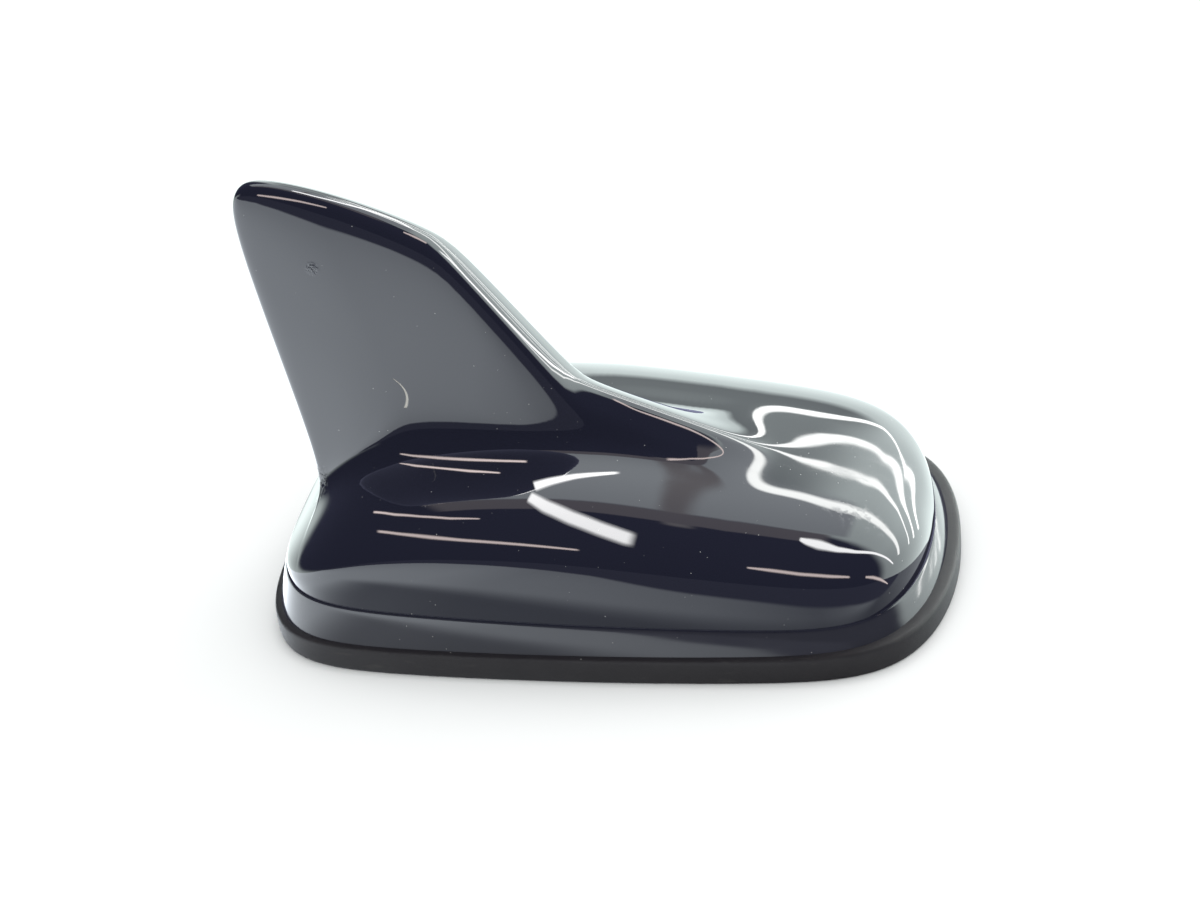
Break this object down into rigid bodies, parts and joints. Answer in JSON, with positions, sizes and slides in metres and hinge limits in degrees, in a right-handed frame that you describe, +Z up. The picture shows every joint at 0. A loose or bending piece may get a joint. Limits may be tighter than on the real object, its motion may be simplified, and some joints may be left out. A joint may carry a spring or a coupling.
{
  "type": "roof antenna",
  "caption": "Low rounded roof antenna with a tall swept fin on a rubber gasket, with a stud, nut, claw and coaxial sockets below the roof plane.",
  "frame": {"origin": "on the underside of the gasket, which is the roof plane, on the stud's axis, at the middle of the gasket's length", "axes": "+X to the rounded nose (forwards on the vehicle), +Y to the left, +Z up through the fin, away from the roof"},
  "size_m": [0.124, 0.072, 0.1008],
  "materials": {
    "cover_gloss": "high gloss paint, near black",
    "gasket_rubber": "matte moulded rubber",
    "seal_rubber": "soft matte rubber",
    "die_cast": "as-cast, fine grain",
    "frame_plastic": "moulded, fine texture",
    "zinc_steel": "bright zinc",
    "board_laminate": "lacquered laminate",
    "tin_sheet": "tinned sheet",
    "patch_ceramic": "fired ceramic",
    "pin_brass": "gold plated",
    "track_copper": "bare copper",
    "holder_plastic": "natural moulded plastic",
    "spring_bronze": "rolled strip",
    "spring_steel": "rolled strip",
    "yellow_zinc": "yellow passivated zinc",
    "collar_plastic": "moulded, satin",
    "socket_blue": "moulded, satin",
    "socket_black": "moulded, satin",
    "insulator_white": "turned plastic"
  },
  "bodies": {
    "root": {"cover": "cover_gloss", "base_gasket": "gasket_rubber", "base_plate": "die_cast", "cover_seal": "seal_rubber", "cover_carrier": "frame_plastic", "cover_screws": "zinc_steel", "main_board": "board_laminate", "board_screws": "zinc_steel", "shield_can": "tin_sheet", "gps_patch": "patch_ceramic", "gps_feed_pin": "pin_brass", "fin_board": "board_laminate", "fin_radiator": "track_copper", "fin_holder": "holder_plastic", "contact_spring": "spring_bronze", "phone_blade": "tin_sheet", "roof_stud": "zinc_steel", "centring_collar": "collar_plastic", "retaining_claw": "spring_steel", "ground_washer": "yellow_zinc", "flange_nut": "zinc_steel", "socket_left": "socket_blue", "socket_right": "socket_black", "socket_shells": "pin_brass", "socket_insulators": "insulator_white", "socket_pins": "pin_brass"}
  },
  "joints": []
}
